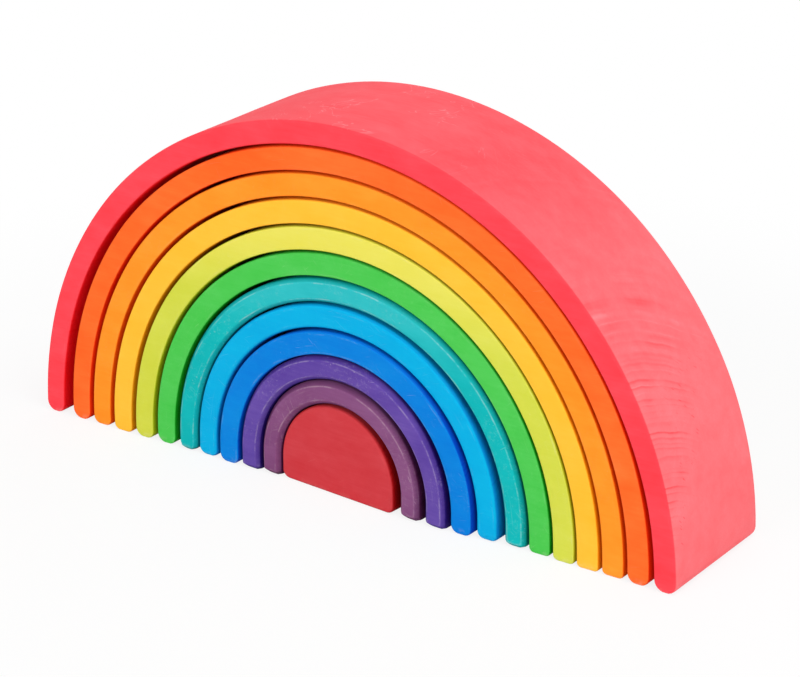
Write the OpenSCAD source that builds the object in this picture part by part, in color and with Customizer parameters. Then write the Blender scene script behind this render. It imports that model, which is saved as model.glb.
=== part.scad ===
// Nesting rainbow of stained wooden blocks: a set of loose round arches of one depth
// that stand inside each other, with a solid half-round block in the middle.
// The set stands on the plane z = 0 with its front towards -Y.

/* [Blocks] */
// Width of the solid block in the middle
core_w = 66; // [30:0.5:90]
// Thickness of each arch
arch_t = 11; // [8.5:0.1:16]
// Gap that the saw leaves between neighbours, at the feet
saw_gap = 1.7; // [1.5:0.05:4]
// Gap between neighbours at the crown, where the sawn curves lie closer
crown_gap = 1; // [0.7:0.05:1.5]
// Room that the outer arch leaves at its feet besides that gap
outer_room = 2.3; // [1.5:0.1:6]
// Depth of every block, front to back
block_d = 70; // [30:1:100]

/* [Legs] */
// Height of the straight legs of the outer arch, below its half circle
outer_leg = 0; // [0:0.5:20]

/* [Sanding] */
// Radius of the sanded edges round the front and back faces
edge_r = 1.5; // [0.5:0.1:3]
// Radius of the sanded corners under the feet
foot_r = 4; // [1:0.1:4.2]

/* [Placing] */
// How far each block stands to the right of the middle, from the outer arch inwards
shift_right = [0, 1.4, 1.4, 1.8, 2.4, 2.6, 2.7, 2.4, 3, 2.6, 2.2, 1.9];
// How far each block stands behind the middle, from the outer arch inwards
shift_back = [0.5, 1, 1.4, 1.2, 1.2, 1.8, 1.4, 0.9, -0.2, -0.6, -0.4, 0.4];
// How many degrees each block is turned to the left, from the outer arch inwards
turned = [0, 0, 0, 0, 0, 0, 0, 0.6, 1.2, 2.2, 3.2, 4.6];

/* [Hidden] */
$fn = 96;
NODES = [
    "red_arch", "orange_arch", "amber_arch", "yellow_arch", "lime_arch", "green_arch",
    "teal_arch", "sky_arch", "blue_arch", "violet_arch", "plum_arch", "core_block"
];
STAINS = [
    "#fc4652", "#fe6d2a", "#fe9729", "#fec138", "#d9dc4e", "#4ec953",
    "#1cb9b9", "#03b0e3", "#0382dc", "#654ca4", "#86507e", "#cf3d44"
];

// The middle block is the last in the lists, and every other block is an arch.
core = len(NODES) - 1;
// Distance from one block's outer wall to the next one's, at the feet
pitch = arch_t + saw_gap;
// Radius that the foot corners get where the arches are too thin for the full one
foot_round = min(foot_r, 0.45 * arch_t);

// Room of the outer arch at its feet, felt by every block inside it
function room(i) = i > 0 ? outer_room : 0;
function wall_r(i) = core_w / 2 + (core - i) * pitch + outer_room - room(i);
// The legs grow inwards by what each gap is wider at the feet than at the crown.
function leg_h(i) = outer_leg + i * (saw_gap - crown_gap) + room(i);

// Rectangle with its low corner at the origin and its corners rounded
module rounded(w, h, r) {
    translate([r, 0]) square([w - 2 * r, h]);
    translate([0, r]) square([w, h - 2 * r]);
    for (x = [r, w - r], y = [r, h - r]) translate([x, y]) circle(r);
}

// Cross-section of an arch, with x as its distance from the middle of the bend
module bar_section(i) {
    translate([wall_r(i) - arch_t, -block_d / 2]) rounded(arch_t, block_d, edge_r);
}

// Half of the middle block's cross-section, from its middle line to its side
module core_section() {
    intersection() {
        translate([-core_w / 2, -block_d / 2]) rounded(core_w, block_d, edge_r);
        translate([0, -block_d]) square([core_w, 2 * block_d]);
    }
}

// A cross-section turned through a half circle and carried straight down to the feet
module bend(i) {
    translate([0, 0, leg_h(i)]) rotate([90, 0, 0]) rotate_extrude(angle = 180) children();
    if (leg_h(i) > 0)
        for (side = [0, 1]) mirror([side, 0, 0]) linear_extrude(leg_h(i)) children();
}

// Space for a block seen from the front: open above, with rounded feet of one width below
module front_space(i, foot_w) {
    w = wall_r(i);
    translate([-2 * w, foot_round]) square([4 * w, 2 * w + leg_h(i)]);
    for (side = [0, 1])
        mirror([side, 0]) translate([w - foot_w, 0]) rounded(foot_w, 3 * foot_round, foot_round);
}

// Space for a block seen from the side, with the edges under the feet sanded
module side_space(i) {
    translate([-block_d / 2, 0]) rounded(block_d, 2 * wall_r(i) + leg_h(i), edge_r);
}

// A bend with its feet rounded, set where it stands in the nest
module block(i, foot_w) {
    translate([shift_right[i], shift_back[i], 0]) rotate([0, 0, -turned[i]]) intersection() {
        bend(i) children();
        rotate([90, 0, 0]) linear_extrude(2 * block_d, center = true) front_space(i, foot_w);
        rotate([90, 0, 90]) linear_extrude(4 * wall_r(i), center = true) side_space(i);
    }
}

module arch(i) {
    color(STAINS[i]) block(i, arch_t) bar_section(i);
}

module red_arch() {
    arch(0);
}

module orange_arch() {
    arch(1);
}

module amber_arch() {
    arch(2);
}

module yellow_arch() {
    arch(3);
}

module lime_arch() {
    arch(4);
}

module green_arch() {
    arch(5);
}

module teal_arch() {
    arch(6);
}

module sky_arch() {
    arch(7);
}

module blue_arch() {
    arch(8);
}

module violet_arch() {
    arch(9);
}

module plum_arch() {
    arch(10);
}

module core_block() {
    color(STAINS[core]) block(core, core_w) core_section();
}

red_arch();
orange_arch();
amber_arch();
yellow_arch();
lime_arch();
green_arch();
teal_arch();
sky_arch();
blue_arch();
violet_arch();
plum_arch();
core_block();
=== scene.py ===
"""Nesting rainbow of stained wooden arches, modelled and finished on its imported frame."""

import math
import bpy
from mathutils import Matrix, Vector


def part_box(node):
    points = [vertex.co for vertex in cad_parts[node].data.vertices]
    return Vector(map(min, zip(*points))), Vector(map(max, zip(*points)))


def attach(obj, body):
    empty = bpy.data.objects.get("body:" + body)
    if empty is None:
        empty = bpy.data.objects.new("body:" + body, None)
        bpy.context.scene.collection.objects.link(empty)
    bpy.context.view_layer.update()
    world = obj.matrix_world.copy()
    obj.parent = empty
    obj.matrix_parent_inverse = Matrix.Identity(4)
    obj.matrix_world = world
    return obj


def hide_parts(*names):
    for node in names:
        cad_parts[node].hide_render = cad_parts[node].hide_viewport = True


bl_info = {
    "name": "Nesting Rainbow",
    "version": (1, 0, 0),
    "blender": (4, 5, 0),
    "location": "View3D > Sidebar > Rainbow",
    "description": "Bends, sands and stains a nest of wooden arches round a half-round block",
    "category": "Object",
}

import bmesh
import bpy
from bpy.props import FloatProperty, FloatVectorProperty, IntProperty, PointerProperty
from mathutils import Matrix, Vector

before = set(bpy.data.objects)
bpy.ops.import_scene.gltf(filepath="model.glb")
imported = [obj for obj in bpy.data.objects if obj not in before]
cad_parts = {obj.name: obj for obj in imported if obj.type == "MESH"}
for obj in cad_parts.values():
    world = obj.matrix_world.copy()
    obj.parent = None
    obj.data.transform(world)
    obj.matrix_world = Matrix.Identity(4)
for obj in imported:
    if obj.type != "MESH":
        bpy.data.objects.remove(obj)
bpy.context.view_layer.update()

# The blocks by the names of their stains, from the outer arch inwards
ARCHES = [
    "red", "orange", "amber", "yellow", "lime", "green", "teal", "sky", "blue", "violet", "plum",
]
CORE = "crimson"


def srgb(red, green, blue):
    """Turns a screen colour, 0 to 255, into the linear colour that Blender works in."""
    def linear(value):
        value /= 255
        return value / 12.92 if value <= 0.04045 else ((value + 0.055) / 1.055) ** 2.4

    return tuple(linear(value) for value in (red, green, blue))


# Shape of the single blocks

# How much more or less than usual the edges of a block are sanded
EDGE_ROUNDING = {
    "red": 1.1, "orange": 0.75, "amber": 0.75, "yellow": 0.75, "lime": 0.8, "green": 0.75,
    "teal": 1.6, "sky": 1.6, "violet": 1.7, "plum": 2.0, "crimson": 1.4,
}
# How much more or less than usual the corners under its left and right foot are sanded
FOOT_ROUNDING = {
    "red": (1.3, 1.3), "orange": (1.2, 1.1), "amber": (0.9, 0.6), "yellow": (0.75, 0.5),
    "lime": (1.1, 0.6), "green": (1.1, 0.6), "teal": (1.1, 0.7), "sky": (1.0, 0.9),
    "violet": (0.55, 0.55), "plum": (0.7, 0.7),
}
# Thickness of the arches that were sawn a touch thinner than usual
THINNER = {"orange": 0.97, "amber": 0.965, "yellow": 0.985, "lime": 0.975, "green": 0.975}
# Blocks whose edges are chamfered rather than rounded
CHAMFERED = ("teal", "violet", "plum")
# Blocks whose feet lost more of their left corner than of their right one, and by what share of
# the thickness
FOOT_LEAN = {"violet": 0.28, "plum": 0.24}
# How many degrees each block stands turned to the left in the nest
TURNED = {"sky": 0.6, "blue": 1.2, "violet": 2.2, "plum": 3.2, "crimson": 4.6}

# Wood of the single blocks

# How much stain is rubbed off: along the arrises, in scratches and in specks
WEAR = {
    "red": (0.03, 0.04, 0.0), "orange": (0.05, 0.06, 0.0), "amber": (0.06, 0.06, 0.08),
    "yellow": (0.06, 0.06, 0.08), "lime": (0.22, 0.12, 0.15), "green": (0.12, 0.18, 0.15),
    "teal": (0.36, 0.12, 0.26), "sky": (0.06, 0.08, 0.04), "blue": (0.12, 0.18, 0.08),
    "violet": (0.32, 0.3, 0.5), "plum": (0.3, 0.26, 0.34), "crimson": (0.04, 0.04, 0.04),
}
# Where the heart of the tree lies in the section of the board, in millimetres behind and above
# the middle of its foot, and how strongly the rings show
HEARTS = {
    "red": (-40, 5, 1.0), "orange": (12, -34, 0.4), "amber": (-8, -52, 0.4),
    "yellow": (25, -28, 0.4), "lime": (-16, -40, 0.4), "green": (6, -60, 0.4),
    "teal": (-24, -30, 0.4), "sky": (15, -48, 0.4), "blue": (-5, -36, 0.4),
    "violet": (20, -55, 0.3), "plum": (-14, -44, 0.3), "crimson": (4, -30, 0.4),
}
# Stain of the blocks that took it differently at the crown than on the legs
CROWNS = {"lime": srgb(234, 224, 92), "teal": srgb(46, 188, 193)}

# Modelling

# Segments of a sanded edge, and of the softened corners of a chamfer
EDGE_SEGMENTS, CHAMFER_SEGMENTS = 6, 3
# How much of a chamfer is softened at its corners
CHAMFER_SOFTENING = 0.25
# Levels of a foot from where its rounding starts down to the floor
FOOT_STEPS = 6
# Cuts through the walls of an arch along its depth, and through its faces along its thickness
DEPTH_CUTS, WIDTH_CUTS = 19, 4
# The middle block: points of its full circle, segments under its feet and cuts along its depth
CORE_POINTS, CORE_FOOT_SEGMENTS, CORE_DEPTH_CUTS = 144, 8, 15
# Its front and back: how far each ring inside them shrinks, towards how many times the height of
# the straight sides, and the least number of corners that tells them from the other faces
CORE_RINGS, CORE_RING_HEIGHT, CORE_FACE_CORNERS = (0.8, 0.7, 0.6, 0.5), 1.6, 20
# Hand sanding: size of its waves, and the height from which it sets in
SANDING_WAVES, SANDING_START = 0.05, 0.003
# Faces that meet at less than this are shaded as one surface, and edges at less than this are one
SMOOTH_ANGLE, STRAIGHT_ANGLE = math.radians(24), 0.001
# How near to each other two points or two levels count as the same
SAME_POINT, SAME_LEVEL = 0.00001, 1e-6
X, Y, Z = 0, 1, 2

# Stained wood, in millimetres

MM = 1000
# Noises of the grain: waves to a millimetre along the board, through its depth and up its height,
# then detail, roughness and distortion
GRAIN = {
    "drift": ((0.004, 0.014, 0.014), 2.0, 0.5, 0.0),
    "waver": ((0.02, 0.05, 0.05), 3.0, 0.55, 0.0),
    "shown": ((0.014, 0.045, 0.07), 3.0, 0.6, 0.0),
    "figure": ((0.016, 0.018, 0.02), 4.0, 0.65, 1.2),
    "mottle": ((0.02, 0.035, 0.035), 3.0, 0.55, 0.6),
    "patch": ((0.07, 0.16, 0.16), 4.0, 0.6, 0.0),
    "fibre": ((0.05, 1.1, 1.1), 3.0, 0.6, 0.0),
    "pores": ((0.3, 1.1, 1.1), 2.0, 0.5, 0.0),
    "dash": ((0.05, 0.22, 1.3), 2.0, 0.5, 0.0),
    "scratch": ((0.09, 0.3, 1.7), 1.0, 0.5, 0.0),
    "streak": ((1.1, 0.035, 0.1), 3.0, 0.6, 0.0),
    "speck": ((0.8, 0.8, 0.8), 1.0, 0.5, 0.0),
    "dust": ((0.5, 0.5, 0.5), 5.0, 0.8, 0.0),
}
SPECK_SHIFT, DUST_SHIFT = (31, 5, 3), (7, 19, 2)
# How far the grain moves on from block to block
GRAIN_STEPS = (137.0, 71.0, 53.0)
STREAK_STEPS = (31.0, 17.0, 0.0)
RING_STEP = 17.0
# Growth rings wander slowly and quickly by this much, and are set back by the middle of both
RING_DRIFT, RING_WAVER, RING_SETBACK = 8.0, 3.0, 5.5
# Up to this distance from the heart they lie close: rings to a millimetre up to it and beyond it
CLOSE_REACH, CLOSE_RINGS, WIDE_RINGS = 92.0, 0.36, 0.12
# How many rings their spacing varies by, and the fine lines in each wide ring
RING_UNEVENNESS, LINES_IN_RING = 4.0, 2.7
# Darkness of the late wood, paleness of the early wood and fine lines, through one year
LATE_WOOD = ((0.0, 0.0), (0.5, 0.1), (0.76, 0.85), (0.86, 1.0), (0.95, 0.0), (1.0, 0.0))
EARLY_WOOD = ((0.0, 0.0), (0.08, 1.0), (0.24, 0.2), (0.45, 0.0))
FINE_LINES = ((0.0, 0.0), (0.6, 0.6), (0.8, 0.9), (1.0, 0.0))
# Contour lines on the crown, and how wide they are as a share of their spacing
CONTOURS, CONTOUR_WIDTH = 5.0, 0.03
# How much deeper the stain gets in the noises and marks of the wood
MOTTLE_SOAK, PATCH_SOAK, FIBRE_SOAK, PORE_SOAK = 0.3, 0.22, 0.12, 0.12
LATE_SOAK, EARLY_SOAK, DASH_SOAK, CONTOUR_SOAK = 0.46, -0.22, 0.5, -0.32
# How far the rubbed line along an arris wanders and where it breaks off, on a chamfer and on a
# rounded edge
CHAMFER_LINE = (0.6, (0.43, 0.64))
ROUNDED_LINE = (1.8, (0.49, 0.66))
# How the dashes slant, and the two ways that scratches lie: turn, and shift of their noise
DASH_SLANT = 0.75
SCRATCHES = ((0.5, 11.0), (-0.9, 47.0))
# How pale the feet are scuffed, of an arch and of the middle block
FOOT_SCUFF, CORE_SCUFF = 0.24, 0.06
# Share of bare wood in the colour of a rubbed place, and of the wall's colour on its flat grain
# (painted shade; on the red arch a paler colour, partly painted light)
BARE_SHARE, FLAT_WALL_SHARE = 0.6, 0.36
# Painted shade on the walls, for the shade in the narrow gaps: how much it dims the stain and
# deepens its colour
PAINTED_SHADE_LEVEL, PAINTED_SHADE_DEPTH = 0.9, 1.75
# Surface: roughness and what the fibres add to it, sheen, and strength and height of the relief
ROUGHNESS, FIBRE_ROUGHNESS, SHEEN = 0.56, 0.15, 0.06
RELIEF_STRENGTH, RELIEF_HEIGHT = 0.5, 0.0002
# How far fibres, late wood, and pores and contour lines stand out of it
FIBRE_RELIEF, LATE_RELIEF, CUT_RELIEF = 0.3, -0.8, -0.4

# Stage

FLOOR_RADIUS, FLOOR_POINTS, FLOOR_ROUGHNESS = 6, 96, 0.9
# How far from the middle the floor fades to white, and how white it is before and after
FLOOR_FADE = (0.2, 0.45, 0.85, 1.0)
# Each lamp with the setting for its power, its place, the height that it aims at and its width
LAMPS = (
    ("key_lamp", "key", (0.75, -0.35, 1.5), 0.08, 0.9),
    ("side_lamp", "side", (1.7, 0.25, 0.55), 0.08, 1.0),
    ("left_lamp", "left", (-1.7, 0.25, 0.3), 0.06, 1.0),
    ("back_lamp", "back", (-0.6, 1.75, 0.55), 0.08, 1.1),
    ("front_lamp", "fill", (-0.15, -1.7, 0.75), 0.08, 1.1),
)
# Camera: lens and sensor in millimetres, angles in degrees, aim and distance in metres
CAMERA_LENS, CAMERA_SENSOR = 125.0, 36
CAMERA_TURN, CAMERA_TILT, CAMERA_ROLL = 35.31, 21.98, -0.36
CAMERA_AIM, CAMERA_DISTANCE = (0.0103, 0, 0.0676), 1.2482


def stain(name, red, green, blue):
    """Makes a colour property for one water stain, or for the red arch's paler outer wall, which is
    partly painted light.
    """
    return FloatVectorProperty(
        name=name, description=f"Water stain of the {name.lower()} block", subtype="COLOR",
        size=3, min=0, max=1, default=srgb(red, green, blue))


class NestSizes(bpy.types.PropertyGroup):
    """Sizes of the sanded wood that the frame's boxes do not give."""

    thickness: FloatProperty(
        name="Arch thickness", description="Thickness of the wood of each arch",
        default=0.011, min=0.008, max=0.016, subtype="DISTANCE", unit="LENGTH")
    depth: FloatProperty(
        name="Depth", description="Depth of every block, front to back",
        default=0.07, min=0.03, max=0.12, subtype="DISTANCE", unit="LENGTH")
    edge: FloatProperty(
        name="Sanded edge", description="Usual radius of the edges round the front and back faces",
        default=0.0011, min=0.0005, max=0.003, subtype="DISTANCE", unit="LENGTH")
    foot: FloatProperty(
        name="Foot corner", description="Usual radius of the corners under the feet",
        default=0.004, min=0.001, max=0.005, subtype="DISTANCE", unit="LENGTH")
    uneven: FloatProperty(
        name="Unevenness", description="How far the hand-sanded surface wanders",
        default=0.0003, min=0, max=0.0008, subtype="DISTANCE", unit="LENGTH")
    steps: IntProperty(
        name="Bend steps", description="Steps along the half circle of each arch",
        default=112, min=24, max=240)


class Stains(bpy.types.PropertyGroup):
    """Colours of the water stains, from the outer arch inwards, with the red arch's paler outer
    wall, partly painted light.
    """

    red: stain("Red", 252, 70, 82)
    orange: stain("Orange", 254, 109, 42)
    amber: stain("Amber", 254, 151, 41)
    yellow: stain("Yellow", 254, 193, 56)
    lime: stain("Lime", 211, 217, 74)
    green: stain("Green", 78, 201, 83)
    teal: stain("Teal", 12, 182, 184)
    sky: stain("Sky", 3, 176, 227)
    blue: stain("Blue", 3, 130, 220)
    violet: stain("Violet", 99, 73, 162)
    plum: stain("Plum", 134, 80, 126)
    crimson: stain("Crimson", 207, 61, 68)
    # The red arch's paler outer wall: partly a paler stain, partly painted light and sheen of its
    # lit side
    red_outside_pale_and_lit: stain("Red outside", 255, 119, 125)
    bare_wood: FloatVectorProperty(
        name="Bare wood", description="Pale wood that shows where the stain is worn",
        subtype="COLOR", size=3, min=0, max=1, default=srgb(245, 232, 220))


class StudioSettings(bpy.types.PropertyGroup):
    """Floor and light of the stage."""

    floor: FloatVectorProperty(
        name="Floor", description="Colour of the plain floor",
        subtype="COLOR", size=3, min=0, max=1, default=(0.92, 0.92, 0.92))
    sky: FloatProperty(
        name="Room light", description="Strength of the even light from the room",
        default=0.4, min=0, max=3)
    key: FloatProperty(
        name="Key light", description="Power of the large lamp above the right side",
        default=13.2, min=0, max=400, subtype="POWER", unit="POWER")
    side: FloatProperty(
        name="Side light", description="Power of the large lamp low on the right",
        default=3.6, min=0, max=400, subtype="POWER", unit="POWER")
    left: FloatProperty(
        name="Left light", description="Power of the large lamp low on the left",
        default=2.6, min=0, max=400, subtype="POWER", unit="POWER")
    back: FloatProperty(
        name="Back light", description="Power of the large lamp behind",
        default=7, min=0, max=400, subtype="POWER", unit="POWER")
    fill: FloatProperty(
        name="Front light", description="Power of the large lamp in front",
        default=11.8, min=0, max=400, subtype="POWER", unit="POWER")


class Stand:
    """Shape of a block and where it stands, read from its box with its slight turn taken off."""

    def __init__(self, node, name, sizes):
        low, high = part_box(node)
        self.turn = math.radians(TURNED.get(name, 0))
        flat = (sizes.depth / 2 - sizes.edge) * math.sin(self.turn)
        reach = (high.x - low.x) / 2 - sizes.edge - flat
        self.outer = reach / math.cos(self.turn) + sizes.edge
        self.x, self.y = (low.x + high.x) / 2, (low.y + high.y) / 2
        self.leg = max(high.z - self.outer, 0)
        self.thickness = sizes.thickness * THINNER.get(name, 1)
        self.inner = self.outer - self.thickness
        self.middle = self.outer - self.thickness / 2
        self.depth = sizes.depth
        self.edge = sizes.edge * EDGE_ROUNDING.get(name, 1)
        self.chamfered = name in CHAMFERED
        self.feet = tuple(sizes.foot * share for share in FOOT_ROUNDING.get(name, (1, 1)))
        self.lean = self.thickness * FOOT_LEAN.get(name, 0)
        self.solid = name == CORE


# Modelling by hand


def deselect():
    """Leaves edit mode and picks nothing."""
    if bpy.context.object and bpy.context.object.mode != "OBJECT":
        bpy.ops.object.mode_set(mode="OBJECT")
    bpy.ops.object.select_all(action="DESELECT")


def edit_new():
    """Takes the object that was just added into edit mode, with its place in its mesh."""
    obj = bpy.context.object
    bpy.ops.object.transform_apply(location=True, rotation=True, scale=True)
    bpy.ops.object.mode_set(mode="EDIT")
    return obj


def pick(obj, test, kind="verts"):
    """Selects the vertices, edges or faces of the mesh in edit mode that pass a test."""
    bpy.ops.mesh.select_mode(type={"verts": "VERT", "edges": "EDGE", "faces": "FACE"}[kind])
    bpy.ops.mesh.select_all(action="DESELECT")
    mesh = bmesh.from_edit_mesh(obj.data)
    for item in getattr(mesh, kind):
        if test(item):
            item.select = True
    mesh.select_flush_mode()
    bmesh.update_edit_mesh(obj.data)


def span(edge, axis):
    """Length of an edge along one axis."""
    return abs(edge.verts[0].co[axis] - edge.verts[1].co[axis])


def bevel(offset, segments, affect="VERTICES"):
    """Rounds off the picked corners or edges."""
    bpy.ops.mesh.bevel(offset=offset, offset_type="OFFSET", segments=segments, profile=0.5,
                       affect=affect)


def extrude(move=(0, 0, 0)):
    """Draws out what is picked, or only doubles it in place."""
    bpy.ops.mesh.extrude_region_move(TRANSFORM_OT_translate={"value": move})


def sand_by_hand(obj, amount):
    """Lets the surface wander a little, but leaves the underside of the feet flat."""
    loose = obj.vertex_groups.new(name="sanded")
    for vertex in obj.data.vertices:
        share = (vertex.co.z - SANDING_START) / (2 * SANDING_START)
        loose.add([vertex.index], min(1.0, max(0.0, share)), "REPLACE")
    cloud = bpy.data.textures.new("hand_sanding", "CLOUDS")
    cloud.noise_scale = SANDING_WAVES
    cloud.noise_depth = 1
    bpy.ops.object.modifier_add(type="DISPLACE")
    wander = obj.modifiers[-1]
    wander.texture = cloud
    wander.texture_coords = "LOCAL"
    wander.vertex_group = loose.name
    wander.mid_level = 0.5
    wander.strength = amount
    bpy.ops.object.modifier_apply(modifier=wander.name)
    obj.vertex_groups.clear()


def finish_mesh(obj, name, stand, uneven):
    """Sands the mesh, turns it as the block stands, merges doubles and smooths it."""
    bpy.ops.object.mode_set(mode="OBJECT")
    sand_by_hand(obj, uneven)
    bpy.ops.object.mode_set(mode="EDIT")
    mesh = bmesh.from_edit_mesh(obj.data)
    turn = Matrix.Rotation(-stand.turn, 3, "Z")
    bmesh.ops.rotate(mesh, verts=mesh.verts, cent=(stand.x, stand.y, 0), matrix=turn)
    bpy.ops.mesh.select_all(action="SELECT")
    bpy.ops.mesh.remove_doubles(threshold=SAME_POINT)
    bpy.ops.mesh.normals_make_consistent(inside=False)
    bpy.ops.object.mode_set(mode="OBJECT")
    bpy.ops.object.shade_smooth_by_angle(angle=SMOOTH_ANGLE)
    obj.name = name
    obj.data.name = name


def draw_section(stand):
    """Draws the cross-section of an arch where its bend ends on the right, with sanded corners."""
    centre = (stand.x + stand.middle, stand.y, stand.leg)
    deselect()
    bpy.ops.mesh.primitive_plane_add(size=1, location=centre)
    obj = edit_new()
    bpy.ops.transform.resize(value=(stand.thickness, stand.depth, 1), center_override=centre)
    if stand.chamfered:
        bevel(stand.edge, 1)
        bevel(CHAMFER_SOFTENING * stand.edge, CHAMFER_SEGMENTS)
    else:
        bevel(stand.edge, EDGE_SEGMENTS)
    bpy.ops.mesh.delete(type="ONLY_FACE")
    pick(obj, lambda e: span(e, Y) > stand.depth / 2, "edges")
    bpy.ops.mesh.subdivide(number_cuts=DEPTH_CUTS)
    pick(obj, lambda e: span(e, X) > stand.thickness / 3, "edges")
    bpy.ops.mesh.subdivide(number_cuts=WIDTH_CUTS)
    return obj


def extrude_down(z, middle, squeeze=(1, 1)):
    """Carries the picked end of a bar down to a level, squeezed about the middle of its foot."""
    extrude()
    bpy.ops.transform.resize(value=(*squeeze, 0), center_override=(*middle, z))


def foot_levels(stand, foot):
    """Heights and squeezes that take a foot in towards the floor, each against the one before."""
    edge = stand.edge
    angles = [math.radians(90 * step / FOOT_STEPS) for step in range(1, FOOT_STEPS + 1)]
    levels = [foot * (1 - math.sin(angle)) for angle in angles]
    if stand.chamfered:
        levels = sorted([edge, *levels], reverse=True)
    last = (1.0, 1.0)
    for z in levels:
        into = foot - math.sqrt(max(foot ** 2 - (foot - z) ** 2, 0))
        taken = max(edge - z, 0) if stand.chamfered else edge * into / foot
        side = 1 - 2 * into / stand.thickness
        face = 1 - 2 * taken / stand.depth
        yield z, (side / last[0], face / last[1])
        last = (side, face)


def bend_arch(name, stand, sizes):
    """Bends one bar into an arch: a section is spun over the top and drawn down to two feet."""
    x, y, leg = stand.x, stand.y, stand.leg
    left, right = (math.asin(max(foot - leg, 0) / stand.middle) for foot in stand.feet)
    bend = Vector((x, y, leg))
    obj = draw_section(stand)

    mesh = bmesh.from_edit_mesh(obj.data)
    bmesh.ops.rotate(mesh, verts=mesh.verts, cent=bend, matrix=Matrix.Rotation(-right, 3, "Y"))
    bpy.ops.mesh.select_all(action="SELECT")
    bpy.ops.mesh.spin(steps=sizes.steps, angle=math.pi - left - right, center=bend, axis=(0, 1, 0))

    for side, foot in zip((-1, 1), stand.feet):
        under = (x + side * stand.middle + stand.lean, y)
        pick(obj, lambda e: len(e.link_faces) == 1 and (e.verts[0].co.x - x) * side > 0, "edges")
        if leg > foot:
            for part in (0.5, 0):
                extrude_down(foot + part * (leg - foot), under)
        for z, squeeze in foot_levels(stand, foot):
            extrude_down(z, under, squeeze)
        bpy.ops.mesh.edge_face_add()
    finish_mesh(obj, name, stand, sizes.uneven)
    return obj


def saw_core(name, stand, sizes):
    """Saws the solid block in the middle: a half disc on short straight sides, sanded all round."""
    x, y, leg, depth = stand.x, stand.y, stand.leg, stand.depth
    front, back = y - depth / 2, y + depth / 2

    deselect()
    bpy.ops.mesh.primitive_circle_add(vertices=CORE_POINTS, radius=stand.outer, fill_type="NGON",
                                      location=(x, front, leg), rotation=(math.pi / 2, 0, 0))
    obj = edit_new()
    bpy.ops.mesh.select_all(action="SELECT")
    bpy.ops.mesh.bisect(plane_co=(x, y, leg), plane_no=(0, 0, 1), clear_inner=True, use_fill=False)
    pick(obj, lambda e: all(abs(v.co.z - leg) < SAME_LEVEL for v in e.verts), "edges")
    extrude((0, 0, -leg))
    bpy.ops.mesh.select_all(action="SELECT")
    bpy.ops.mesh.dissolve_limited(angle_limit=STRAIGHT_ANGLE)
    pick(obj, lambda v: abs(v.co.z) < SAME_LEVEL)
    bevel(stand.feet[0], CORE_FOOT_SEGMENTS)
    bpy.ops.mesh.select_all(action="SELECT")
    extrude((0, depth, 0))
    pick(obj, lambda e: span(e, Y) < SAME_LEVEL, "edges")
    bevel(stand.edge, EDGE_SEGMENTS, "EDGES")
    pick(obj, lambda e: span(e, Y) > depth / 2, "edges")
    bpy.ops.mesh.subdivide(number_cuts=CORE_DEPTH_CUTS)
    for face in (front, back):
        centre = (x, face, leg * CORE_RING_HEIGHT)
        pick(obj, lambda f: len(f.verts) > CORE_FACE_CORNERS
             and abs(f.calc_center_median().y - face) < SAME_POINT, "faces")
        for share in CORE_RINGS:
            extrude()
            bpy.ops.transform.resize(value=(share, 1, share), center_override=centre)
    finish_mesh(obj, name, stand, sizes.uneven)
    return obj


# Stained wood


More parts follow.
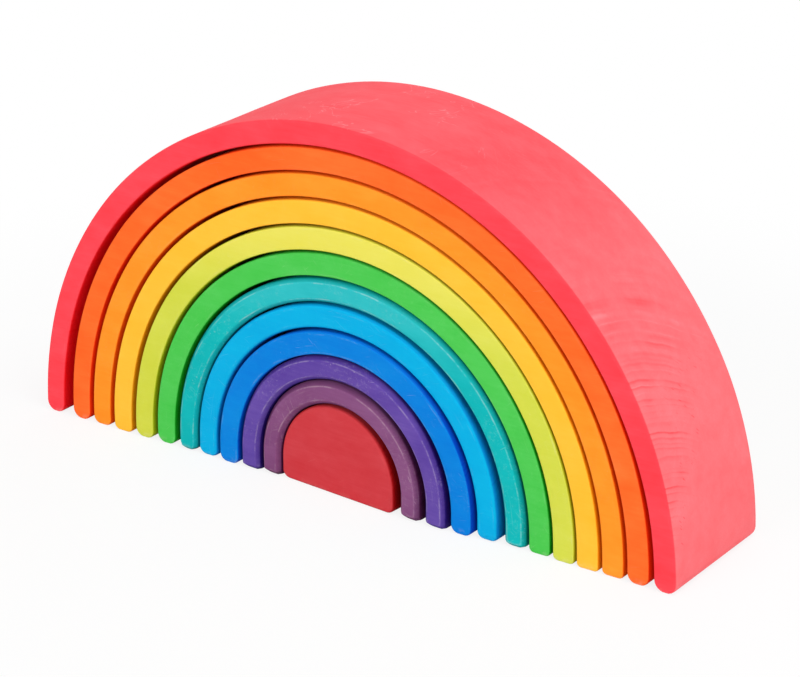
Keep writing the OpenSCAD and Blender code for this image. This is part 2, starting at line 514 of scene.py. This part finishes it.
class Recipe:
    """Writes a chain of shader nodes into the node tree of a material or a world."""

    def __init__(self, data):
        data.use_nodes = True
        self.nodes, self.links = data.node_tree.nodes, data.node_tree.links

    def put(self, socket, value):
        """Links a socket to another one, or sets it to a plain value."""
        if isinstance(value, bpy.types.NodeSocket):
            self.links.new(value, socket)
        else:
            socket.default_value = value

    def node(self, kind, **settings):
        """Adds a node with its settings."""
        made = self.nodes.new(kind)
        for key, value in settings.items():
            setattr(made, key, value)
        return made

    def math(self, operation, *values, clamp=False):
        """Adds one step of arithmetic."""
        made = self.node("ShaderNodeMath", operation=operation, use_clamp=clamp)
        for socket, value in zip(made.inputs, values):
            self.put(socket, value)
        return made.outputs[0]

    def minus(self, first, second):
        """Takes one value from another."""
        return self.math("SUBTRACT", first, second)

    def times(self, first, *others):
        """Multiplies values."""
        for other in others:
            first = self.math("MULTIPLY", first, other)
        return first

    def most(self, first, *others):
        """Keeps the largest of some values."""
        for other in others:
            first = self.math("MAXIMUM", first, other)
        return first

    def add_up(self, total, *shares):
        """Adds to a value each of some others times its amount."""
        for value, amount in shares:
            total = self.math("MULTIPLY_ADD", value, amount, total)
        return total

    def distance(self, first, second):
        """Measures the distance from the origin in a plane."""
        squares = self.math("ADD", self.times(first, first), self.times(second, second))
        return self.math("SQRT", squares)

    def axes(self, vector):
        """Takes a vector apart."""
        made = self.node("ShaderNodeSeparateXYZ")
        self.put(made.inputs[0], vector)
        return made.outputs

    def vector(self, *values):
        """Puts a vector together."""
        made = self.node("ShaderNodeCombineXYZ")
        for socket, value in zip(made.inputs, values):
            self.put(socket, value)
        return made.outputs[0]

    def spread(self, value, low, high, start=0.0, end=1.0):
        """Maps a value smoothly from one span to another and stops at the ends."""
        made = self.node("ShaderNodeMapRange", interpolation_type="SMOOTHSTEP")
        for socket, given in zip(made.inputs, (value, low, high, start, end)):
            self.put(socket, given)
        return made.outputs[0]

    def place(self, coords, scale=(1, 1, 1), shift=(0, 0, 0), turn=(0, 0, 0)):
        """Scales, turns and shifts coordinates."""
        made = self.node("ShaderNodeMapping")
        for key, value in (("Vector", coords), ("Location", shift), ("Rotation", turn),
                           ("Scale", scale)):
            self.put(made.inputs[key], value)
        return made.outputs[0]

    def noise(self, coords, scale, detail=2.0, roughness=0.5, distortion=0.0):
        """Adds soft noise."""
        made = self.node("ShaderNodeTexNoise")
        for key, value in (("Vector", coords), ("Scale", scale), ("Detail", detail),
                           ("Roughness", roughness), ("Distortion", distortion)):
            self.put(made.inputs[key], value)
        return made.outputs[0]

    def ramp(self, value, stops):
        """Maps a value along a line of stops, each a position and a level."""
        made = self.node("ShaderNodeValToRGB")
        self.put(made.inputs[0], value)
        marks = made.color_ramp.elements
        while len(marks) < len(stops):
            marks.new(0.5)
        for mark, (position, level) in zip(marks, stops):
            mark.position = position
            mark.color = (level, level, level, 1)
        return made.outputs[0]

    def mix(self, factor, first, second):
        """Mixes two colours, each a socket or three channels."""
        made = self.node("ShaderNodeMix", data_type="RGBA")
        self.put(made.inputs[0], factor)
        for socket, value in ((made.inputs[6], first), (made.inputs[7], second)):
            self.put(socket, (*value, 1) if isinstance(value, tuple) else value)
        return made.outputs[2]

    def either(self, factor, first, second):
        """Mixes two shaders."""
        made = self.node("ShaderNodeMixShader")
        for socket, value in zip(made.inputs, (factor, first, second)):
            self.put(socket, value)
        return made.outputs[0]


def painted_wall_shade(colour):
    """Dims and deepens a stain: painted shade on the walls, for the shade in the narrow gaps
    between the blocks.
    """
    return tuple(PAINTED_SHADE_LEVEL * channel ** PAINTED_SHADE_DEPTH for channel in colour)


def blend(first, second, share):
    """Mixes two colours."""
    return tuple(a + (b - a) * share for a, b in zip(first, second))


class StainedWood(Recipe):
    """Water stain on sanded wood, with fibres, growth rings on the end grain and rubbed arrises,
    painted shade on the walls and, on the red arch's outer wall, a paler colour that is partly
    painted light.
    """

    def __init__(self, name, number, stand, stains):
        self.material = bpy.data.materials.new(f"{name}_stained_wood")
        super().__init__(self.material)
        self.shader = self.nodes["Principled BSDF"].inputs
        self.stand, self.seed = stand, number
        self.colour = tuple(getattr(stains, name))
        self.crown = CROWNS.get(name, self.colour)
        # Outer wall colour: on the red arch paler, partly painted light and sheen of its lit side;
        # on the others painted shade
        self.wall = tuple(stains.red_outside_pale_and_lit) if name == "red" else painted_wall_shade(self.colour)
        self.bare = tuple(stains.bare_wood)
        self.measure()
        self.draw_rings(*HEARTS[name])
        self.draw_figure()
        self.put(self.shader["Base Color"], self.rub_off(self.soak_in_and_paint_wall_shade(), *WEAR[name]))
        self.roughen()

    def grain(self, kind, shift=(0, 0, 0), coords=None):
        """One of the noises of the grain, laid along this block or along other coordinates."""
        waves, *details = GRAIN[kind]
        laid = self.place(self.own if coords is None else coords, waves, shift)
        return self.noise(laid, 1.0, *details)

    def rise(self, low, high, start=0.0, end=1.0):
        """Goes from one level to another between two shares of the block's height."""
        return self.spread(self.height, low * self.top, high * self.top, start, end)

    def measure(self):
        """Finds where a point lies in its block, and which way the surface faces there."""
        stand = self.stand
        leg, outer, inner = MM * stand.leg, MM * stand.outer, MM * stand.inner
        self.top = leg + outer
        coords = self.node("ShaderNodeTexCoord").outputs
        here = self.place(coords["Object"], (MM, MM, MM), (-MM * stand.x, -MM * stand.y, 0))
        here = self.place(here, turn=(0, 0, stand.turn))
        self.own = self.place(here, shift=[self.seed * step for step in GRAIN_STEPS])
        across, self.behind, self.height = self.axes(here)
        normal = self.axes(coords["Normal"])
        self.sideways = self.math("ABSOLUTE", normal[X])
        self.front = self.spread(self.math("ABSOLUTE", normal[Y]), 0.45, 0.9)
        self.side = self.minus(1.0, self.front)

        # Distance from the middle of the bend, way along it, and whether a wall faces outwards
        above = self.most(self.minus(self.height, leg), 0.0)
        below = self.most(self.minus(leg, self.height), 0.0)
        reach = self.distance(across, above)
        along = self.times(self.math("ARCTAN2", above, across), outer)
        along = self.minus(along, self.times(below, self.math("SIGN", across)))
        self.bent = self.vector(reach, along, self.behind)
        outward = self.add_up(self.times(normal[Z], above), (normal[X], across))
        outward = self.spread(self.math("DIVIDE", outward, reach), 0.1, 0.4)
        self.outside = self.times(outward, self.side)

        # Distance from the outline of the front face
        outline = self.minus(outer, reach)
        if not stand.solid:
            outline = self.math("MINIMUM", outline, self.minus(reach, inner))
        self.outline = self.math("SMOOTH_MIN", outline, self.height, 3.0)

    def draw_rings(self, heart_y, heart_z, strength):
        """Growth rings round the heart of the tree, which runs along the board.

        Each has pale early wood and dark late wood. Near the heart they lie close together,
        further out they are wide, and some years show more than others.
        """
        drift = self.grain("drift")
        waver = self.grain("waver")
        ring_y = self.minus(self.behind, heart_y)
        radius = self.distance(ring_y, self.minus(self.height, heart_z))
        sweep = self.math("DIVIDE", ring_y, radius)
        radius = self.minus(radius, RING_SETBACK)
        radius = self.add_up(radius, (waver, RING_WAVER), (drift, RING_DRIFT))
        close = self.math("MINIMUM", radius, CLOSE_REACH)
        wide = self.most(self.minus(radius, CLOSE_REACH), 0.0)
        uneven = self.noise(self.vector(radius), 0.11)
        age = self.add_up(self.times(close, CLOSE_RINGS), (wide, WIDE_RINGS),
                          (uneven, RING_UNEVENNESS))
        year = self.math("FRACT", age)
        late = self.ramp(year, LATE_WOOD)
        early = self.ramp(year, EARLY_WOOD)
        lines = self.ramp(self.math("FRACT", self.times(age, LINES_IN_RING)), FINE_LINES)
        late = self.add_up(late, (lines, self.spread(radius, 86.0, 98.0, 0.0, 0.4)))

        # Where they show: on the ends, in patches, by chance from year to year, less at the feet
        # and hardly where they run steeply
        ring_end = self.spread(self.sideways, 0.5, 0.76)
        shown = self.add_up(0.03, (self.outside, 0.12), (ring_end, 0.85))
        chance = self.node("ShaderNodeTexWhiteNoise", noise_dimensions="1D")
        count = self.math("ADD", self.math("FLOOR", age), self.seed * RING_STEP)
        self.put(chance.inputs["W"], count)
        fade = self.times(
            self.spread(self.grain("shown"), 0.36, 0.6, 0.15, 1.0),
            self.spread(chance.outputs["Value"], 0.1, 0.9, 0.2, 1.0),
            self.rise(0.1, 0.3, 0.25, 1.0),
            self.times(shown, strength))
        late_fade = self.times(fade, self.spread(sweep, 0.3, 0.58, 1.0, 0.04))
        self.late = self.times(late, late_fade, self.rise(0.44, 0.62, 1.0, 0.45))
        early_fade = self.times(fade, self.spread(sweep, 0.42, 0.72, 1.0, 0.04))
        self.early = self.times(early, early_fade, self.rise(0.4, 0.6, 0.3, 1.0))

        # Short dark dashes in a band beside the rings, low down on the ends
        dash = self.grain("dash", coords=self.place(self.own, turn=(DASH_SLANT, 0, 0)))
        band = self.times(self.spread(sweep, 0.22, 0.4), self.spread(sweep, 0.5, 0.66, 1.0, 0.0),
                          self.rise(0.42, 0.56, 1.0, 0.0))
        self.dash = self.times(self.spread(dash, 0.66, 0.74), self.times(ring_end, band))

    def draw_figure(self):
        """Broken contour lines on the flat of the crown."""
        figure = self.times(self.grain("figure"), CONTOURS)
        line = self.math("ABSOLUTE", self.minus(self.math("FRACT", figure), 0.5))
        self.contour = self.times(
            self.spread(line, 0.0, CONTOUR_WIDTH, 1.0, 0.0),
            self.spread(self.noise(self.own, 0.045), 0.46, 0.56),
            self.times(self.outside, self.rise(0.9, 0.98)))

    def soak_in_and_paint_wall_shade(self):
        """Stain that soaks in unevenly, deepest into the late wood and into the pores, with painted
        shade on the walls and a paler red outer wall that is partly painted light.
        """
        mottle, patch = self.grain("mottle"), self.grain("patch")
        self.fibre = self.grain("fibre")
        self.pores = self.spread(self.grain("pores"), 0.72, 0.8)
        facing_sideways = self.spread(self.sideways, 0.3, 0.95)
        tint = self.mix(self.rise(0.6, 0.97), self.colour, self.crown)
        # Painted shade on every wall: the stain dimmed and deepened
        tint = self.mix(self.side, tint, painted_wall_shade(self.colour))
        # Outer walls: painted shade, or on the red arch the paler colour that is partly painted
        # light; in full where they face sideways, a share of it on the crown
        wall = self.mix(facing_sideways, blend(self.colour, self.wall, FLAT_WALL_SHARE), self.wall)
        tint = self.mix(self.outside, tint, wall)
        soak = self.add_up(
            1.0, (self.minus(mottle, 0.5), MOTTLE_SOAK), (self.minus(patch, 0.5), PATCH_SOAK),
            (self.minus(self.fibre, 0.5), FIBRE_SOAK), (self.late, LATE_SOAK),
            (self.early, EARLY_SOAK), (self.dash, DASH_SOAK), (self.pores, PORE_SOAK),
            (self.contour, CONTOUR_SOAK))
        deepen = self.node("ShaderNodeGamma")
        self.put(deepen.inputs["Color"], tint)
        self.put(deepen.inputs["Gamma"], soak)
        return deepen.outputs[0]

    def rub_off(self, tint, rubbed_arris, scratched, specked):
        """Stain rubbed off along the arrises, in scratches and specks, as dust, at the feet."""
        wander, breaks = CHAMFER_LINE if self.stand.chamfered else ROUNDED_LINE
        wobble = self.times(self.minus(self.noise(self.own, 0.09), 0.5), wander)
        off_line = self.minus(self.outline, 1.05 * MM * self.stand.edge)
        off_line = self.math("ABSOLUTE", self.math("ADD", off_line, wobble))
        broken = self.spread(self.noise(self.own, 0.08, 5.0, 0.75), *breaks)
        arris = self.times(self.spread(off_line, 0.0, 0.5, 1.0, 0.0), self.front, broken)

        scratch = 0.0
        for turn, shift in SCRATCHES:
            turn += 0.3 * math.sin(7.0 * self.seed + shift)
            lay = self.place(self.own, shift=(shift, 3.0, shift), turn=(0, turn, 0))
            line = self.spread(self.grain("scratch", coords=lay), 0.725, 0.78)
            scratch = self.most(line, scratch)
        start = [self.seed * step for step in STREAK_STEPS]
        streak = self.spread(self.grain("streak", start, self.bent), 0.63, 0.78, 0.0, 0.8)
        scratch = self.most(scratch, streak)

        worn = self.spread(self.noise(self.own, 0.03, 3.0), 0.42, 0.58)
        speck = self.spread(self.grain("speck", SPECK_SHIFT), 0.72, 0.8)
        dust = self.spread(self.grain("dust", DUST_SHIFT), 0.5, 0.75, 0.0, 0.5)
        speck = self.most(speck, dust)
        pale = CORE_SCUFF if self.stand.solid else FOOT_SCUFF
        scuff = self.times(self.spread(self.height, 0.5, 4.0, pale, 0.0),
                           self.spread(self.noise(self.own, 0.16, 3.0), 0.48, 0.62))

        rubbed = self.most(
            self.times(arris, rubbed_arris), self.times(scratch, worn, scratched),
            self.times(speck, worn, specked), scuff)
        facing = self.add_up(0.2, (self.front, 0.8))
        rubbed = self.math("MULTIPLY", rubbed, facing, clamp=True)
        return self.mix(rubbed, tint, blend(self.colour, self.bare, BARE_SHARE))

    def roughen(self):
        """Matt surface with a fine relief of fibres, rings, pores and contour lines."""
        rough = self.add_up(ROUGHNESS, (self.fibre, FIBRE_ROUGHNESS))
        self.put(self.shader["Roughness"], rough)
        self.put(self.shader["Specular IOR Level"], SHEEN)
        cut = self.math("ADD", self.pores, self.contour)
        relief = self.add_up(self.times(self.late, LATE_RELIEF), (self.fibre, FIBRE_RELIEF),
                             (cut, CUT_RELIEF))
        bump = self.node("ShaderNodeBump")
        for key, value in (("Strength", RELIEF_STRENGTH), ("Distance", RELIEF_HEIGHT),
                           ("Height", relief)):
            self.put(bump.inputs[key], value)
        self.put(self.shader["Normal"], bump.outputs[0])


def dress(obj, body, node, material):
    """Gives a finished block its wood and hangs it on its body in the frame."""
    obj.data.materials.clear()
    obj.data.materials.append(material)
    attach(obj, body)
    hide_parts(node)


class RAINBOW_OT_arches(bpy.types.Operator):
    """Bends the arches of the nest, from the outer one inwards"""

    bl_idname = "rainbow.arches"
    bl_label = "Bend the arches"

    def execute(self, context):
        sizes, stains = context.scene.nest_sizes, context.scene.stains
        for number, name in enumerate(ARCHES):
            stand = Stand(f"{name}_arch", name, sizes)
            obj = bend_arch(f"{name}_block", stand, sizes)
            wood = StainedWood(name, number, stand, stains)
            dress(obj, name, f"{name}_arch", wood.material)
        return {"FINISHED"}


class RAINBOW_OT_core(bpy.types.Operator):
    """Saws the solid half-round block that stands in the middle of the nest"""

    bl_idname = "rainbow.core"
    bl_label = "Saw the middle block"

    def execute(self, context):
        sizes, stains = context.scene.nest_sizes, context.scene.stains
        stand = Stand("core_block", CORE, sizes)
        obj = saw_core("crimson_block", stand, sizes)
        wood = StainedWood(CORE, len(ARCHES), stand, stains)
        dress(obj, "core", "core_block", wood.material)
        return {"FINISHED"}


# Stage


def lay_floor(studio):
    """Lays a pale floor that takes the shadows and fades to plain white further out."""
    deselect()
    bpy.ops.mesh.primitive_circle_add(vertices=FLOOR_POINTS, radius=FLOOR_RADIUS,
                                      fill_type="NGON", location=(0, 0, 0))
    floor = bpy.context.object
    floor.name = "floor"
    material = bpy.data.materials.new("pale_floor")
    r = Recipe(material)
    shader = r.nodes["Principled BSDF"]
    for key, value in (("Base Color", (*studio.floor, 1)), ("Roughness", FLOOR_ROUGHNESS),
                       ("Specular IOR Level", 0)):
        r.put(shader.inputs[key], value)
    from_middle = r.node("ShaderNodeVectorMath", operation="LENGTH")
    r.put(from_middle.inputs[0], r.node("ShaderNodeTexCoord").outputs["Object"])
    fade = r.spread(from_middle.outputs["Value"], *FLOOR_FADE)
    seen = r.times(r.node("ShaderNodeLightPath").outputs["Is Camera Ray"], fade)
    white = r.node("ShaderNodeEmission")
    surface = r.either(seen, shader.outputs[0], white.outputs[0])
    r.put(r.nodes["Material Output"].inputs["Surface"], surface)
    floor.data.materials.append(material)


def light_room(scene, strength):
    """Fills the room with even light; where it is seen itself it is plain white."""
    world = bpy.data.worlds.new("studio_room")
    scene.world = world
    r = Recipe(world)
    room, white = r.nodes["Background"], r.node("ShaderNodeBackground")
    for background, level in ((room, strength), (white, 1)):
        background.inputs["Color"].default_value = (1, 1, 1, 1)
        background.inputs["Strength"].default_value = level
    path = r.node("ShaderNodeLightPath").outputs
    seen = r.most(path["Is Camera Ray"], path["Is Glossy Ray"], path["Is Transmission Ray"])
    surface = r.either(seen, room.outputs[0], white.outputs[0])
    r.put(r.nodes["World Output"].inputs["Surface"], surface)


def add_lamp(name, place, aim, size, power):
    """Hangs a large round lamp that points at its aim."""
    deselect()
    bpy.ops.object.light_add(type="AREA", location=place)
    lamp = bpy.context.object
    lamp.name = name
    lamp.data.shape = "DISK"
    lamp.data.size = size
    lamp.data.energy = power
    lamp.rotation_euler = (Vector(aim) - Vector(place)).to_track_quat("-Z", "Y").to_euler()


def set_camera(scene):
    """Sets up the camera in front, on the right and above."""
    bpy.ops.object.camera_add()
    camera = bpy.context.object
    camera.name = "camera"
    camera.data.lens = CAMERA_LENS
    camera.data.sensor_width = CAMERA_SENSOR
    camera.data.sensor_fit = "HORIZONTAL"
    turn, tilt, roll = (math.radians(a) for a in (CAMERA_TURN, CAMERA_TILT, CAMERA_ROLL))
    level = math.cos(tilt)
    back = Vector((math.sin(turn) * level, -math.cos(turn) * level, math.sin(tilt)))
    right = (-back).cross(Vector((0, 0, 1))).normalized()
    up = right.cross(-back)
    side = right * math.cos(roll) + up * math.sin(roll)
    top = up * math.cos(roll) - right * math.sin(roll)
    pose = Matrix((side, top, back)).transposed().to_4x4()
    pose.translation = Vector(CAMERA_AIM) + back * CAMERA_DISTANCE
    camera.matrix_world = pose
    scene.camera = camera


class RAINBOW_OT_stage(bpy.types.Operator):
    """Sets up the pale floor, the soft light and the camera"""

    bl_idname = "rainbow.stage"
    bl_label = "Set the stage"

    def execute(self, context):
        scene, studio = context.scene, context.scene.studio
        lay_floor(studio)
        light_room(scene, studio.sky)
        for name, setting, place, aim, size in LAMPS:
            add_lamp(name, place, (0, 0, aim), size, getattr(studio, setting))
        set_camera(scene)
        scene.view_settings.view_transform = "Standard"
        return {"FINISHED"}


class RAINBOW_PT_panel(bpy.types.Panel):
    """Lists the blocks and the stage in the sidebar"""

    bl_idname = "RAINBOW_PT_panel"
    bl_label = "Nesting Rainbow"
    bl_space_type = "VIEW_3D"
    bl_region_type = "UI"
    bl_category = "Rainbow"

    def draw(self, context):
        column = self.layout.column()
        for group in (context.scene.nest_sizes, context.scene.stains, context.scene.studio):
            for key in group.__annotations__:
                column.prop(group, key)
        for operator in (RAINBOW_OT_arches, RAINBOW_OT_core, RAINBOW_OT_stage):
            column.operator(operator.bl_idname)


CLASSES = (
    NestSizes, Stains, StudioSettings, RAINBOW_OT_arches, RAINBOW_OT_core, RAINBOW_OT_stage,
    RAINBOW_PT_panel,
)


def register():
    for cls in CLASSES:
        bpy.utils.register_class(cls)
    bpy.types.Scene.nest_sizes = PointerProperty(type=NestSizes)
    bpy.types.Scene.stains = PointerProperty(type=Stains)
    bpy.types.Scene.studio = PointerProperty(type=StudioSettings)


def unregister():
    del bpy.types.Scene.studio
    del bpy.types.Scene.stains
    del bpy.types.Scene.nest_sizes
    for cls in reversed(CLASSES):
        bpy.utils.unregister_class(cls)


def main():
    register()
    bpy.ops.rainbow.stage()
    bpy.ops.rainbow.arches()
    bpy.ops.rainbow.core()


if __name__ == "__main__":
    main()
